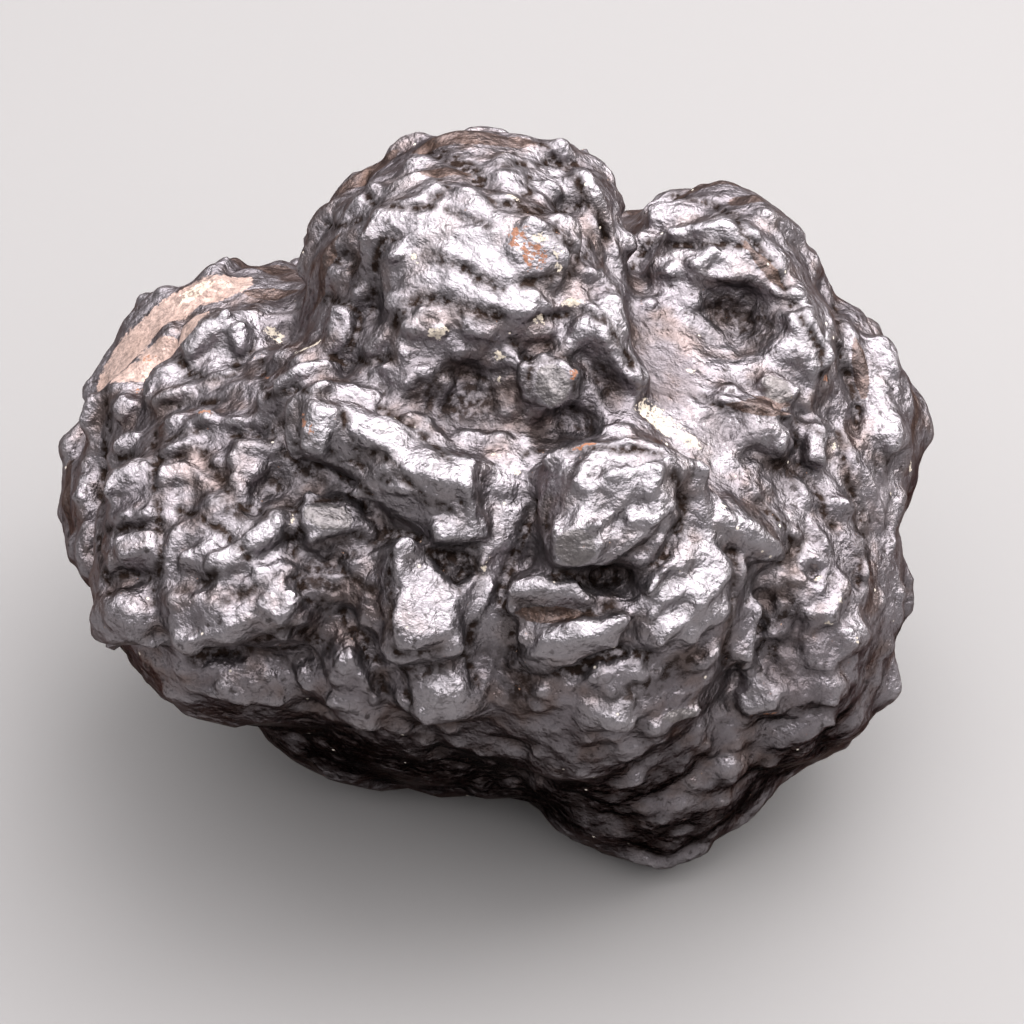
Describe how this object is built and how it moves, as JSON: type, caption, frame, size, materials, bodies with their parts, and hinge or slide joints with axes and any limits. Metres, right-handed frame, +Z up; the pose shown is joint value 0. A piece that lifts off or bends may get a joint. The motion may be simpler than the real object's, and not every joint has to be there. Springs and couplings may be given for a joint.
{
  "type": "prophecy stone",
  "caption": "Prophecy stone: a fist-shaped nodule of dark, glossy iron oxide, covered in blocky crystals grown together into one solid.",
  "frame": {"origin": "centre of the bounding box in X and Y, on the plane the stone rests on", "axes": "+Z up, +X along the longest side, the pictured side faces -Y"},
  "size_m": [0.0476, 0.0378, 0.0354],
  "materials": {
    "iron_oxide": "dark brown-black iron oxide with a waxy half-metallic sheen, brown in the creases, with rust and cream crust in places"
  },
  "bodies": {
    "root": {"stone": "iron_oxide"}
  },
  "joints": []
}
